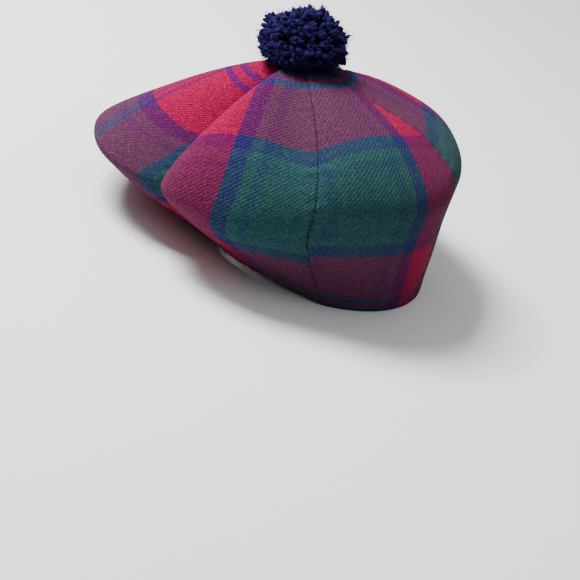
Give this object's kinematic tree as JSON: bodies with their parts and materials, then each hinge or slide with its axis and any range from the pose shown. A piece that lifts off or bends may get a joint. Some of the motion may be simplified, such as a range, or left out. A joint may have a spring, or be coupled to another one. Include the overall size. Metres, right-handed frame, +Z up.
{
  "type": "tam o'shanter",
  "caption": "Soft tartan wool tam o'shanter of sewn gores with a yarn pompom on top, slouched forward over its brow, standing on its rim with the head hollow open below.",
  "frame": {"origin": "on the surface the hat rests on, under the middle of the hat's box", "axes": "+Z up, -Y towards the wearer's front, +X towards the wearer's left"},
  "size_m": [0.2738, 0.2644, 0.1679],
  "materials": {
    "tartan_cloth": "woven wool twill in a crimson, green and navy tartan, slightly napped",
    "pompom_yarn": "cut navy wool yarn"
  },
  "bodies": {
    "root": {"gore_left_front": "tartan_cloth", "gore_left": "tartan_cloth", "gore_left_back": "tartan_cloth", "gore_right_back": "tartan_cloth", "gore_right": "tartan_cloth", "gore_right_front": "tartan_cloth", "pompom": "pompom_yarn"}
  },
  "joints": []
}
